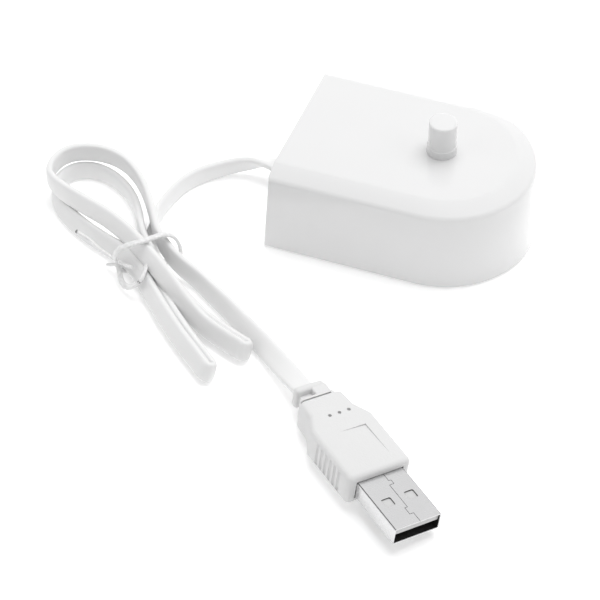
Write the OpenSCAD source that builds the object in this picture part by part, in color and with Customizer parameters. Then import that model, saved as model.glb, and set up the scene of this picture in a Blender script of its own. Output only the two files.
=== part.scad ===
// Charging base for an electric toothbrush: a D-shaped housing with a peg, the coil and
// board inside it, and a flat low-voltage lead that is folded, tied and ends in a USB plug.
// Millimetres. Origin: bottom centre of the base, on the table. +X runs from the flat back
// to the round end, +Z is up, and -Y is the side on which the lead is laid out.

/* [Base] */
// Length of the base from its flat back to its round end
base_length = 61.4; // [60:0.1:63]
// Width of the base
base_width = 46; // [45:0.1:47]
// Height of the flat top above the table
base_height = 23.4; // [23:0.1:24]
// Height of the lower edge of the sloping band round the top
band_bottom = 21.4; // [20.5:0.1:21.8]
// Width of the sloping band, seen from above
band_width = 4.8; // [4:0.1:6]
// Draft of the walls, in degrees
draft = 2.6; // [2:0.1:3]
// Thickness of the housing's rim, round the bottom cover
rim_wall = 1.8; // [1.6:0.1:2]
// Thickness of the housing's walls above the rim
wall = 2.8; // [2.6:0.1:3]
// Radius of the small rounding along the top of the flat back
back_round = 1.2; // [0.8:0.1:1.6]

/* [Peg] */
// Distance of the peg from the middle of the base, towards the round end
peg_x = 6.6; // [6:0.1:7.5]
// Diameter of the peg
peg_d = 6.8; // [6.4:0.1:7]
// Diameter of the collar round the foot of the peg
collar_d = 7.5; // [7.2:0.1:7.6]
// Height of the collar
collar_h = 2.4; // [2:0.1:3]
// Height of the peg above the flat top
peg_h = 9.2; // [9:0.1:10]

/* [Bottom] */
// Height of the bottom cover's underside above the table
cover_lift = 0.6; // [0.5:0.1:0.8]
// Thickness of the bottom cover
cover_t = 2.4; // [2.2:0.1:2.6]
// Radius of a rubber foot
foot_r = 3.2; // [2.8:0.1:3.2]

/* [Coil and board] */
// Height of the board's upper face
board_top = 12; // [11.8:0.1:12.4]
// Thickness of the board
board_t = 1.2; // [1:0.1:1.6]
// Outer radius of the coil bobbin
bobbin_r = 10.5; // [9.5:0.1:10.5]
// Radius of the ferrite rod
core_r = 2; // [1.8:0.1:2]

/* [Lead] */
// Width of the flat lead
lead_w = 5.2; // [5:0.1:5.4]
// Thickness of the flat lead
lead_t = 2; // [1.8:0.1:2.2]
// Height of the lead's middle where it leaves the base
exit_z = 6; // [5.8:0.1:6.2]

/* [Plug] */
// Width of the plug's metal shell
shell_w = 12; // [11.9:0.1:12.1]
// Height of the plug's metal shell
shell_h = 4.5; // [4.4:0.1:4.6]
// Length of the shell in front of the moulding
shell_out = 15.3; // [15:0.1:16]
// Width of the plug's moulding
grip_w = 16.2; // [15.6:0.1:16.6]
// Height of the plug's moulding
grip_h = 8; // [7.8:0.1:8.2]
// Turn of the plug about the vertical, in degrees
plug_yaw = -38.8; // [-40:0.1:-38]
// Tilt of the plug on its long lower edge, in degrees
plug_roll = -8; // [-8:0.1:-7]

/* [Hidden] */
$fn = 64;
eps = 0.01;

// --- worked-out sizes of the base -------------------------------------------------------
rim_z = 0.4;
half_w = base_width / 2;
back_x = -base_length / 2;
round_x = base_length / 2 - half_w;
roof_z = base_height - 1.8;
cover_top = cover_lift + cover_t;
pad_top = cover_top + 1;
peg_top = base_height + peg_h;
board_bottom = board_top - board_t;
// places of the four cover screws, which the rubber feet hide
corner_x = 25;
corner_y = 17;
end_reach = 17.2;
end_turn = 48;
end_x = round_x + end_reach * cos(end_turn);
end_y = end_reach * sin(end_turn);
cover_screw_places = [[-corner_x, -corner_y], [-corner_x, corner_y], [end_x, -end_y],
                      [end_x, end_y]];
// the board and its four screws
board_x0 = -23.5;
board_x1 = 16;
board_y = 12.8;
board_screw_places = [[-20.5, -10.3], [-20.5, 10.3], [14.2, -10.8], [14.2, 10.8]];
// the coil's bobbin, its winding and its two pins
bobbin_z0 = board_top + 0.05;
bobbin_z1 = roof_z - 0.1;
bobbin_bore = 4;
flange_t = 1;
barrel_r = 5.1;
winding_r = 8.6;
pin_places = [[peg_x - 9, -3], [peg_x - 9, 3]];
// the clamp that holds the lead inside the base
clamp_x = -22;
clamp_y = 5.4;
saddle_z = exit_z - lead_t / 2;
clamp_z = exit_z + lead_t / 2 + 0.05;
clamp_t = 1.5;
gland_tip = back_x - 4.8;

// --- the plug's place --------------------------------------------------------------------
plug_at = [21.8, -89, 5.02];
neck_back = -31.4;
neck_w = 5.8;
neck_h = 4.2;
step_front = -26;
step_w = 11.8;
grip_back = -16.5;
shell_wall = 0.3;
shell_in = 9;
block_back = -20;
insulator_z0 = 0.1;
insulator_w = 11.3;

// --- routes of the lead: [x, y, z, turn], where turn is 0 for a strip that stands on its
// edge and 90 for one that lies flat ------------------------------------------------------
first_route = [[gland_tip, 0, exit_z, 90], [-38, 0.2, 5.5, 64], [-42, 0, 4.6, 30],
               [-46, -1, 3.5, 14], [-50, -3.4, 2.8, 6], [-53.5, -6.8, 2.6, 0],
               [-56, -11, 2.6, 0], [-57.4, -16, 2.6, 0], [-58, -21, 2.6, 0],
               [-57.9, -26, 2.8, 2]];
last_route = [[-45, -40.1, 4, 14], [-40.6, -41.8, 3, 20], [-35.6, -44.8, 2.8, 26],
              [-30, -48.4, 2.8, 32], [-24.4, -52.2, 2.7, 38], [-18.6, -56.1, 2.6, 46],
              [-12.6, -60.6, 2.8, 60], [-7.6, -64.9, 3.8, 80], [-2.7, -69.2, 5, 98]];
// the folded and tied part of the lead: [x, y, radius] of the rounds its outline is made of
loop_rounds = [[-77.3, -23.2, 9.8], [-66.8, -28, 10.6], [-55, -38, 5]];
tail_rounds = [[-55, -38, 5], [-44.5, -48, 5.6], [-28, -66.8, 3.4], [-24, -58.8, 3]];
loop_top = 2 * lead_w;
tail_top = lead_w + 0.2;
tie_at = [-54.5, -38.5];
tie_turn = -45;
tie_wire = 1.2;

// --- functions ---------------------------------------------------------------------------
function half_at(z, inset = 0) = half_w - inset - (z - rim_z) * tan(draft);
function back_at(z, inset = 0) = back_x + inset + (z - rim_z) * tan(draft);
function arc(cx, cy, r, a0, a1, n = 6) =
    [for (i = [0:n]) [cx + r * cos(a0 + (a1 - a0) * i / n), cy + r * sin(a0 + (a1 - a0) * i / n)]];
function unit(v) = v / norm(v);
// a smooth curve through four neighbouring points, t from 0 to 1 between p1 and p2
function blend(p0, p1, p2, p3, t) =
    0.5 * (2 * p1 + (p2 - p0) * t + (2 * p0 - 5 * p1 + 4 * p2 - p3) * t * t
           + (3 * p1 - p0 - 3 * p2 + p3) * t * t * t);
function smooth(p, steps) =
    let (last = len(p) - 1)
    concat([for (i = [0:last - 1], k = [0:steps - 1])
                blend(p[max(i - 1, 0)], p[i], p[i + 1], p[min(i + 2, last)], k / steps)],
           [p[last]]);
function spot(q) = [q[0], q[1], q[2]];
function heading(p, i) =
    let (a = p[max(i - 1, 0)], b = p[min(i + 1, len(p) - 1)]) unit(spot(b) - spot(a));
// the ring of eight points across the heading, for a flat strip with rounded edges
function strip_ring(p, i) =
    let (h = heading(p, i), left = unit(cross([0, 0, 1], h)), up = cross(h, left),
         wide = up * cos(p[i][3]) + left * sin(p[i][3]), thin = cross(h, wide),
         w = lead_w / 2, t = lead_t / 2, cut = 0.55)
    [for (c = [[w, t * cut], [w * 0.8, t], [-w * 0.8, t], [-w, t * cut],
               [-w, -t * cut], [-w * 0.8, -t], [w * 0.8, -t], [w, -t * cut]])
        spot(p[i]) + wide * c[0] + thin * c[1]];
// the same for a round wire
function wire_ring(p, i, r) =
    let (h = heading(p, i), side = unit(cross(h, [0.31, 0.95, 0.05])), up = cross(h, side))
    [for (a = [0:45:315]) spot(p[i]) + r * (side * cos(a) + up * sin(a))];

// --- shared shapes -----------------------------------------------------------------------
// a closed skin over rings of eight points
module skin(rings) {
    n = len(rings);
    end = (n - 1) * 8;
    sides = [for (i = [0:n - 2], k = [0:7])
                let (a = i * 8 + k, b = i * 8 + (k + 1) % 8)
                each [[b, a, a + 8], [b, a + 8, b + 8]]];
    ends = [for (k = [1:6]) each [[0, k, k + 1], [end, end + k + 1, end + k]]];
    polyhedron([for (one = rings) each one], concat(sides, ends), convexity = 8);
}

module strip(route, steps) {
    p = smooth(route, steps);
    skin([for (i = [0:len(p) - 1]) strip_ring(p, i)]);
}

module wire(route, r, steps = 3) {
    p = smooth(route, steps);
    skin([for (i = [0:len(p) - 1]) wire_ring(p, i, r)]);
}

// a solid with the base's outline: half gives the right half of its cross-section, and side
// the long section that cuts its drafted back
module d_form(half, side) {
    mirrored = [for (i = [len(half) - 1:-1:0]) [-half[i][0], half[i][1]]];
    intersection() {
        union() {
            translate([round_x, 0, 0])
                rotate([0, 0, -90])
                rotate_extrude(angle = 180, $fn = 128)
                polygon(half);
            translate([round_x, 0, 0])
                rotate([90, 0, -90])
                linear_extrude(base_length)
                polygon(concat(half, mirrored));
        }
        translate([0, base_width, 0])
            rotate([90, 0, 0])
            linear_extrude(2 * base_width)
            polygon(side);
    }
}

// a drafted D-shaped slab, inset from the outer walls
module d_slab(inset, z0, z1) {
    d_form([[0, z0], [half_at(z0, inset), z0], [half_at(z1, inset), z1], [0, z1]],
           [[back_at(z0, inset), z0], [base_length, z0], [base_length, z1],
            [back_at(z1, inset), z1]]);
}

module at_places(places) {
    for (p = places)
        translate([p[0], p[1], 0])
            children();
}

module post(r, z0, z1) {
    translate([0, 0, z0])
        cylinder(h = z1 - z0, r = r);
}

module block(low, high) {
    translate(low)
        cube(high - low);
}

module screw(head_r, head_h, shank_r, length) {
    difference() {
        post(head_r, -head_h, 0);
        for (turn = [0, 90])
            rotate([0, 0, turn])
                block([-head_r * 0.6, -head_r * 0.12, -head_h - eps],
                      [head_r * 0.6, head_r * 0.12, -head_h * 0.5]);
    }
    post(shank_r, 0, length);
}

// --- housing -----------------------------------------------------------------------------
module outer_form() {
    crease = half_at(band_bottom);
    top_back = back_at(base_height);
    d_form([[0, rim_z], [half_at(rim_z), rim_z], [crease, band_bottom],
            [crease - band_width, base_height], [0, base_height]],
           concat([[back_at(rim_z), rim_z], [base_length, rim_z], [base_length, base_height]],
                  arc(top_back + back_round, base_height - back_round, back_round, 90, 180)));
}

module cavity() {
    crease = half_at(band_bottom, wall);
    roof_back = back_at(roof_z, wall);
    slope = roof_z - band_bottom + 1.4;
    d_form([[0, pad_top], [half_at(pad_top, wall), pad_top], [crease, roof_z - slope],
            [crease - band_width + 1, roof_z], [0, roof_z]],
           [[back_at(pad_top, wall), pad_top], [base_length, pad_top], [base_length, roof_z],
            [roof_back, roof_z]]);
    d_slab(rim_wall, rim_z - 1, pad_top + eps);
}

module peg_form() {
    r = peg_d / 2;
    edge = 0.5;
    translate([peg_x, 0, 0])
        rotate_extrude($fn = 96)
        polygon(concat([[0, roof_z], [collar_d / 2, roof_z],
                        [collar_d / 2, base_height + collar_h - 0.3],
                        [r, base_height + collar_h]],
                       arc(r - edge, peg_top - edge, edge, 0, 90), [[0, peg_top]]));
}

module top_housing() {
    well_r = 3.9;
    color("white")
    difference() {
        union() {
            difference() {
                outer_form();
                cavity();
            }
            peg_form();
            translate([peg_x, 0, 0])
                post(well_r, board_top + 1.2, roof_z + eps);
            at_places(cover_screw_places)
                post(2.6, pad_top, roof_z + eps);
            at_places(board_screw_places)
                post(2.1, board_top, roof_z + eps);
        }
        translate([peg_x, 0, 0])
            post(core_r + 0.1, board_top, peg_top - 1.4);
        at_places(cover_screw_places)
            post(1.1, pad_top - eps, 14);
        at_places(board_screw_places)
            post(0.85, board_top - eps, 18);
        block([back_x - 5, -3.55, exit_z - 1.95], [back_x + 5, 3.55, exit_z + 1.95]);
    }
}

module bottom_cover() {
    color("gainsboro")
    difference() {
        union() {
            d_slab(rim_wall + 0.15, cover_lift, cover_top);
            intersection() {
                d_slab(wall + 0.15, cover_lift, pad_top);
                at_places(cover_screw_places)
                    post(4.2, cover_lift, pad_top);
            }
            block([clamp_x - 2.4, -clamp_y - 2, cover_top - eps],
                  [clamp_x + 2.4, clamp_y + 2, saddle_z]);
            for (side = [-1, 1])
                block([clamp_x - 2, side * clamp_y - 2, saddle_z - eps],
                      [clamp_x + 2, side * clamp_y + 2, clamp_z]);
        }
        at_places(cover_screw_places) {
            post(foot_r + 0.05, cover_lift - 1, cover_lift + 0.9);
            post(2.3, cover_lift, cover_lift + 2.2);
            post(1.4, cover_lift, pad_top + 1);
        }
        for (side = [-1, 1])
            translate([clamp_x, side * clamp_y, 0])
                post(0.85, saddle_z - 2, clamp_z + 1);
    }
}

module cover_gasket() {
    color("dimgray")
    difference() {
        d_slab(rim_wall + 0.15, cover_top, pad_top);
        d_slab(wall + 0.05, cover_top - 1, pad_top + 1);
    }
}

module rubber_feet() {
    color("silver")
    at_places(cover_screw_places)
        rotate_extrude()
        polygon([[0, 0], [foot_r - 0.4, 0], [foot_r, 0.4], [foot_r, cover_lift + 0.9],
                 [0, cover_lift + 0.9]]);
}

module cover_screws() {
    color("lightsteelblue")
    at_places(cover_screw_places)
        translate([0, 0, cover_lift + 2.2])
        screw(2.1, 1.2, 1.05, 9);
}

// --- coil and board ------------------------------------------------------------------------
module circuit_board() {
    color("seagreen")
    difference() {
        block([board_x0, -board_y, board_bottom], [board_x1, board_y, board_top]);
        at_places(board_screw_places)
            post(1.2, board_bottom - 1, board_top + 1);
        at_places(pin_places)
            post(0.5, board_bottom - 1, board_top + 1);
    }
}

module board_screws() {
    color("lightsteelblue")
    at_places(board_screw_places)
        translate([0, 0, board_bottom])
        screw(1.8, 1.1, 0.8, 6.4);
}

module coil_bobbin() {
    color("ivory")
    difference() {
        translate([peg_x, 0, 0])
            rotate_extrude($fn = 96)
            polygon([[bobbin_bore, bobbin_z0], [bobbin_r, bobbin_z0], [bobbin_r, bobbin_z0 + flange_t],
                     [barrel_r, bobbin_z0 + flange_t], [barrel_r, bobbin_z1 - flange_t],
                     [bobbin_r, bobbin_z1 - flange_t], [bobbin_r, bobbin_z1], [bobbin_bore, bobbin_z1]]);
        at_places(pin_places)
            post(0.4, bobbin_z0 - 1, bobbin_z0 + flange_t + eps);
    }
}

module coil_winding() {
    low = bobbin_z0 + flange_t + 0.05;
    high = bobbin_z1 - flange_t - 0.05;
    inner = barrel_r + 0.05;
    color("peru")
    translate([peg_x, 0, 0])
        rotate_extrude($fn = 96)
        polygon([[inner, low], [winding_r, low], [winding_r, high], [inner, high]]);
}

module ferrite_core() {
    color("darkslategray")
    translate([peg_x, 0, 0])
        post(core_r, board_top + 0.1, peg_top - 1.6);
}

module terminal_pins() {
    color("goldenrod")
    at_places(pin_places)
        post(0.35, board_bottom - 1.2, bobbin_z0 + flange_t);
}

module smoothing_capacitor() {
    color("midnightblue")
    translate([-16.5, 6, board_top])
        rotate_extrude()
        polygon([[0, 0], [3.8, 0], [4, 0.6], [3.7, 1.1], [4, 1.6], [4, 7.6], [3.7, 8], [0, 8]]);
}

module resonance_capacitor() {
    color("firebrick")
    block([-21, -7.5, board_top], [-13, -2.5, board_top + 6.5]);
}

module filter_choke() {
    color("dimgray")
    translate([-8.5, 8.8, board_top])
        rotate_extrude()
        polygon([[0, 0], [2.9, 0], [2.9, 0.8], [2.2, 1.2], [2.2, 3.4], [2.9, 3.8], [2.9, 4.6],
                 [0, 4.6]]);
}

module driver_chip() {
    color("black")
    translate([-9.5, -9, board_top]) {
        block([-2.5, -2, 0.2], [2.5, 2, 1.6]);
        for (i = [0:3], side = [-1, 1])
            block([-2.1 + 1.27 * i, min(side * 1.9, side * 3), 0],
                  [-1.7 + 1.27 * i, max(side * 1.9, side * 3), 0.4]);
    }
}

module power_transistor() {
    color("black")
    translate([-10.5, 0, board_top]) {
        block([-2.3, -1.6, 0.1], [2.3, 1.6, 1.6]);
        for (i = [-1:1])
            block([1.5 * i - 0.25, -2.6, 0], [1.5 * i + 0.25, -1.5, 0.4]);
    }
}

module chip_parts() {
    color("tan")
    for (i = [0:4], j = [0:1])
        translate([-8 + 4 * i, -5 + 8 * j, board_bottom - 0.6])
            block([-1, -0.6, 0], [1, 0.6, 0.6]);
}

// --- where the lead enters -------------------------------------------------------------------
module cord_gland() {
    outside = back_at(exit_z) - 0.02;
    inside = back_at(exit_z, wall) + 0.1;
    bore_y = lead_w / 2 + 0.02;
    bore_z = lead_t / 2 + 0.02;
    color("white")
    difference() {
        union() {
            block([outside - 0.3, -3.5, exit_z - 1.9], [inside, 3.5, exit_z + 1.9]);
            block([inside, -4.6, exit_z - 2.9], [inside + 1.4, 4.6, exit_z + 2.9]);
            hull() {
                block([outside - 0.5, -4, exit_z - 2.4], [outside - 0.1, 4, exit_z + 2.4]);
                block([gland_tip, -3.2, exit_z - 1.6], [gland_tip + 0.3, 3.2, exit_z + 1.6]);
            }
        }
        block([gland_tip - 1, -bore_y, exit_z - bore_z], [inside + 3, bore_y, exit_z + bore_z]);
    }
}

module jacket_end() {
    color("white")
    block([gland_tip, -lead_w / 2, exit_z - lead_t / 2],
          [clamp_x + 3.4, lead_w / 2, exit_z + lead_t / 2]);
}

module cord_clamp() {
    color("gainsboro")
    difference() {
        block([clamp_x - 1.9, -clamp_y - 1.9, clamp_z],
              [clamp_x + 1.9, clamp_y + 1.9, clamp_z + clamp_t]);
        for (side = [-1, 1])
            translate([clamp_x, side * clamp_y, 0])
                post(1.1, clamp_z - 1, clamp_z + clamp_t + 1);
    }
}

module clamp_screws() {
    color("lightsteelblue")
    for (side = [-1, 1])
        translate([clamp_x, side * clamp_y, clamp_z + clamp_t])
            rotate([180, 0, 0])
            screw(1.6, 1, 0.8, 4);
}

module supply_wire(side) {
    start = [clamp_x + 3.45, side * 1.1, exit_z];
    end = start + [4, side * 2, 0];
    wire([start, start + [2, side, 0.3], start + [3.6, side * 1.8, 1.8],
          [end[0], end[1], board_bottom]], 0.5);
}

module supply_wire_red() {
    color("red")
    supply_wire(-1);
}

module supply_wire_black() {
    color("black")
    supply_wire(1);
}

// --- the lead outside the base -----------------------------------------------------------------
module lead_first() {
    color("white")
    strip(first_route, 2);
}

module lead_last() {
    color("white")
    strip(last_route, 2);
}

module outline(rounds) {
    hull()
        for (c = rounds)
            translate([c[0], c[1]])
                circle(r = c[2], $fn = 48);
}

module lead_hank() {
    color("white")
    union() {
        linear_extrude(loop_top)
            outline(loop_rounds);
        linear_extrude(tail_top)
            outline(tail_rounds);
    }
}

module tie_ring() {
    half = 5.9;
    top = loop_top + tie_wire;
    slope = 2;
    difference() {
        polygon([[-half, 0], [half, 0], [half, top - slope], [half - slope, top],
                 [slope - half, top], [-half, top - slope]]);
        offset(delta = -tie_wire)
            polygon([[-half, -tie_wire / 2], [half, -tie_wire / 2], [half, top - slope],
                     [half - slope, top], [slope - half, top], [-half, top - slope]]);
    }
}

module twist_tie() {
    knot = [-58.4, -42.4, 1.8];
    color("whitesmoke")
    union() {
        translate([tie_at[0], tie_at[1], 0])
            rotate([0, 0, tie_turn])
            rotate([90, 0, 90])
            translate([0, 0, -tie_wire / 2])
            linear_extrude(tie_wire)
            tie_ring();
        wire([knot, [-62, -42.6, 1.6], [-68, -40, 1.2], [-75, -36.6, 1.6]], tie_wire / 2);
        wire([knot, [-62, -43.8, 1.4], [-65.4, -43.2, 0.8]], tie_wire / 2);
    }
}

// --- plug ------------------------------------------------------------------------------------
module at_plug() {
    translate(plug_at)
        rotate([plug_roll, 0, plug_yaw])
        children();
}

module centred_block(x0, x1, w, z0, z1) {
    block([x0, -w / 2, z0], [x1, w / 2, z1]);
}

module plug_moulding() {
    soft = 2.2;
    half = grip_w / 2;
    step = step_w / 2;
    color("white")
    at_plug()
    difference() {
        union() {
            translate([0, 0, -grip_h / 2])
                linear_extrude(grip_h)
                polygon(concat([[0, -half + soft / 2], [0, half - soft / 2], [-soft / 2, half],
                                [grip_back, half], [grip_back - 4, step], [step_front, step],
                                [step_front, -step], [grip_back - 4, -step], [grip_back, -half],
                                [-soft / 2, -half]]));
            centred_block(neck_back, step_front + eps, neck_w, -neck_h / 2, neck_h / 2);
        }
        centred_block(block_back, 1, shell_w + 0.04, -shell_h / 2 - 0.02, shell_h / 2 + 0.02);
        centred_block(neck_back - 1, block_back + 1, lead_w + 0.04, -lead_t / 2 - 0.02,
                      lead_t / 2 + 0.02);
        for (side = [-1, 1])
            block([-29, min(side * 1.2, side * 4), -3], [-28, max(side * 1.2, side * 4), 3]);
    }
}

module plug_inner_block() {
    color("ivory")
    at_plug()
    difference() {
        centred_block(block_back + 0.05, -shell_in - 0.05, shell_w, -shell_h / 2, shell_h / 2);
        centred_block(block_back - 1, -shell_in + 1, 9, -1.05, 1.05);
    }
}

module plug_shell() {
    color("silver")
    at_plug()
    difference() {
        centred_block(-shell_in, shell_out, shell_w, -shell_h / 2, shell_h / 2);
        centred_block(-shell_in - 1, shell_out + 1, shell_w - 2 * shell_wall,
                      -shell_h / 2 + shell_wall, shell_h / 2 - shell_wall);
        for (side = [-1, 1])
            block([6.3, side * 3.2 - 1.25, -5], [8.8, side * 3.2 + 1.25, 5]);
    }
}

module plug_insulator() {
    color("whitesmoke")
    at_plug()
    union() {
        centred_block(-shell_in + 0.1, shell_out - 0.5, insulator_w, insulator_z0,
                      shell_h / 2 - shell_wall - 0.02);
        centred_block(-shell_in + 0.1, 0, insulator_w, -shell_h / 2 + shell_wall + 0.02,
                      insulator_z0 + eps);
    }
}

module plug_contacts() {
    color("gold")
    at_plug()
    for (y = [-3.5, -1, 1, 3.5])
        block([0.05, y - 0.5, insulator_z0 - 0.25], [12, y + 0.5, insulator_z0]);
}

module plug_wires() {
    color("orangered")
    at_plug()
    for (y = [-1.2, 1.2])
        translate([block_back + 0.1, y, 0])
            rotate([0, 90, 0])
            cylinder(h = -shell_in - block_back - 0.2, r = 0.5, $fn = 16);
}

top_housing();
bottom_cover();
cover_gasket();
rubber_feet();
cover_screws();
circuit_board();
board_screws();
coil_bobbin();
coil_winding();
ferrite_core();
terminal_pins();
smoothing_capacitor();
resonance_capacitor();
filter_choke();
driver_chip();
power_transistor();
chip_parts();
cord_gland();
jacket_end();
cord_clamp();
clamp_screws();
supply_wire_red();
supply_wire_black();
lead_first();
lead_hank();
lead_last();
twist_tie();
plug_moulding();
plug_inner_block();
plug_shell();
plug_insulator();
plug_contacts();
plug_wires();
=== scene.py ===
"""Looks of a toothbrush's charging base, with its tied flat lead and USB plug.

Metres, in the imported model's frame: the base stands on the floor at z = 0 with its flat back
towards -X and its round end towards +X. The lead is laid out on the -Y side.
"""

import math

import bmesh
import bpy
from bpy.props import FloatProperty, FloatVectorProperty, PointerProperty
from mathutils import Matrix, Vector


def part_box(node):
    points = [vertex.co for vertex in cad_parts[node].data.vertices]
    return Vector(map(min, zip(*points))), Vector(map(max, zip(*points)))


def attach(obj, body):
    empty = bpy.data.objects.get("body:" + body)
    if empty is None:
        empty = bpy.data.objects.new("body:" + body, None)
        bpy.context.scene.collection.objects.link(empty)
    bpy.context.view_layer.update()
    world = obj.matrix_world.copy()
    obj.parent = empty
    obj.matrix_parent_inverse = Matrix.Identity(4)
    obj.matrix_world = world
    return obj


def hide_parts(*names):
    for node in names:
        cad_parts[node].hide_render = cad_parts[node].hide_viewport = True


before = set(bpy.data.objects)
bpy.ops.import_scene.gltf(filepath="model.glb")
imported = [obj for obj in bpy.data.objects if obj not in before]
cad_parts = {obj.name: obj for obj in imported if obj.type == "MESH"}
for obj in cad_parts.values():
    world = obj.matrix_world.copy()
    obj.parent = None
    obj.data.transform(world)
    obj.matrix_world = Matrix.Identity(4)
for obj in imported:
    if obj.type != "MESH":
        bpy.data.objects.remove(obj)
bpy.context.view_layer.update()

bl_info = {
    "name": "Charging Base",
    "version": (1, 0, 0),
    "blender": (4, 5, 0),
    "location": "3D View > Sidebar > Charger",
    "description": "Models and finishes a charging base with its lead and plug",
    "category": "Object",
}

MM = 0.001
SAME = 1e-6              # metres: closer than this, two levels are one
NEAR = 1e-5
LOOK_AT = Vector((-0.015778, -0.037299, 0))
ROUTE_STEPS = 8          # points of the finished strip for each point of its route
TIE_STEPS = 6
TIE_TIP = (-0.0733, -0.0727)      # X over which the tie's long end turns dark

# --- the lead's route: x, y, z in millimetres and the strip's turn in degrees, where 0 stands
# on its edge and 90 lies flat -----------------------------------------------------------------
FROM_BASE = [
    (-35.5, 0, 6, 90), (-38, 0.2, 5.5, 64), (-42, 0, 4.6, 30), (-46, -1, 3.5, 14),
    (-50, -3.4, 2.8, 6), (-53.5, -6.8, 2.6, 0), (-56, -11, 2.6, 0), (-57.4, -16, 2.6, 0),
    (-58, -21, 2.6, 0), (-57.9, -26, 2.8, 2)]
UNDER_TIE = [
    (-56.8, -30.6, 2.5, 50), (-55.6, -35, 1.25, 86), (-54.4, -39.2, 1.25, 86),
    (-52.3, -43.3, 1.3, 84)]
FIRST_TAIL = [
    (-49.3, -47.5, 2.8, 27), (-45.2, -51.6, 2.8, 25), (-40, -56.6, 2.8, 25),
    (-34.4, -61.6, 2.8, 25), (-29, -66, 2.8, 25), (-27.2, -67.5, 2.8, 25),
    (-26.2, -68.3, 2.8, 22), (-25.7, -69.1, 3, 10), (-26.2, -69.9, 3.5, -10),
    (-27.2, -69.8, 3.7, -22), (-28.3, -68.9, 3.7, -25), (-30.5, -67.1, 3.7, -25),
    (-36.3, -62.4, 3.7, -25), (-43, -56.3, 3.7, -25), (-49.9, -49.4, 3.7, -25),
    (-54.5, -44.7, 3.7, -28)]
LOWER_LOOP = [
    (-60, -40.8, 3.5, -30), (-66, -38.2, 2.9, -30), (-73, -35.2, 2.8, -28),
    (-80, -31, 2.8, -20), (-84.4, -26.4, 2.7, -8), (-85.7, -21.4, 2.6, 0),
    (-84, -17, 2.6, 0), (-80.2, -14.8, 2.6, 0), (-75.4, -15, 2.6, 0),
    (-70.2, -17.4, 2.6, 0), (-65.6, -21.4, 2.7, 0), (-62, -26.4, 3.2, 0),
    (-59.2, -31.6, 4.6, 0)]
SECOND_TAIL = [
    (-55.5, -36.9, 4.9, 0), (-50.5, -41.6, 4.6, 4), (-45.6, -45.9, 3.7, 14),
    (-40, -50, 2.9, 24), (-34, -53.8, 2.8, 25), (-27.3, -56.9, 2.8, 25),
    (-22.3, -58.8, 2.8, 25), (-21.1, -59.2, 2.8, 22), (-20.4, -59.9, 3, 10),
    (-20.7, -60.8, 3.5, -10), (-21.7, -60.9, 3.7, -22), (-22.9, -60.4, 3.7, -25),
    (-26, -59.3, 3.7, -25), (-32.9, -56.3, 3.8, -25), (-39.4, -52.5, 5.3, -25),
    (-46.6, -47.8, 7.9, -25), (-53.4, -42.6, 8.1, -22)]
UPPER_LOOP = [
    (-60, -38, 7.9, -18), (-67, -34.4, 7.9, -16), (-74, -31.9, 7.8, -14),
    (-81, -29.2, 7.8, -8), (-85.6, -26, 7.8, 0), (-86.9, -21.6, 7.8, 0),
    (-85.6, -17, 7.8, 0), (-82, -14.2, 7.8, 0), (-76.6, -13.2, 7.8, 0),
    (-71, -14.5, 7.8, 0), (-66, -17.9, 7.8, 0), (-61.6, -22.6, 7.8, 0),
    (-57.2, -28.8, 7.8, 0), (-53, -35.2, 7.4, 0)]
TO_PLUG = [
    (-49, -38.2, 5.6, 8), (-45, -40.1, 4, 14), (-40.6, -41.8, 3, 20), (-35.6, -44.8, 2.8, 26),
    (-30, -48.4, 2.8, 32), (-24.4, -52.2, 2.7, 38), (-18.6, -56.1, 2.6, 46),
    (-12.6, -60.6, 2.8, 60), (-7.6, -64.9, 3.8, 80), (-2.7, -69.2, 5, 98)]
LEAD_ROUTE = FROM_BASE + UNDER_TIE + FIRST_TAIL + LOWER_LOOP + SECOND_TAIL + UPPER_LOOP + TO_PLUG

# the twist tie's band, its hanging loop and its two twisted ends, in millimetres
TIE_BAND = [
    (-60.2, -44.2, 4), (-60.2, -44.8, 6.5), (-58.9, -45, 9.2), (-56.2, -44.2, 11),
    (-53.4, -42.2, 11.5), (-51.8, -40.2, 11.3), (-50.2, -38, 10.8), (-48.8, -36.4, 9.4),
    (-48, -35.4, 7.2), (-47.6, -34.6, 4), (-48, -34.6, 1.2), (-50, -36, 0.5),
    (-54, -39.4, 0.45), (-57.6, -42.4, 0.5), (-59.6, -43.8, 1.4), (-60.2, -44.2, 4)]
TIE_LOOP = [
    (-52.3, -43.6, 6.4), (-51.5, -46.4, 6.9), (-51.2, -49.4, 6.5), (-52, -50.6, 5.2),
    (-54.4, -50, 2.8), (-56.4, -49, 2.2), (-57.9, -47.4, 2.4), (-59.2, -45, 3),
    (-60, -44.4, 4)]
TIE_LONG_END = [
    (-54.6, -47.6, 7), (-56.6, -46.4, 6), (-59.6, -44.4, 4.4), (-63.1, -42.7, 4),
    (-66.3, -41.3, 4), (-69.4, -39.4, 4), (-72.4, -38.6, 4.4), (-73.4, -38.2, 4.5)]
TIE_SHORT_END = [(-59.6, -44.6, 3.6), (-60.8, -43.9, 2.6), (-62.2, -43.6, 1.8), (-63.2, -43.3, 1.2)]

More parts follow.
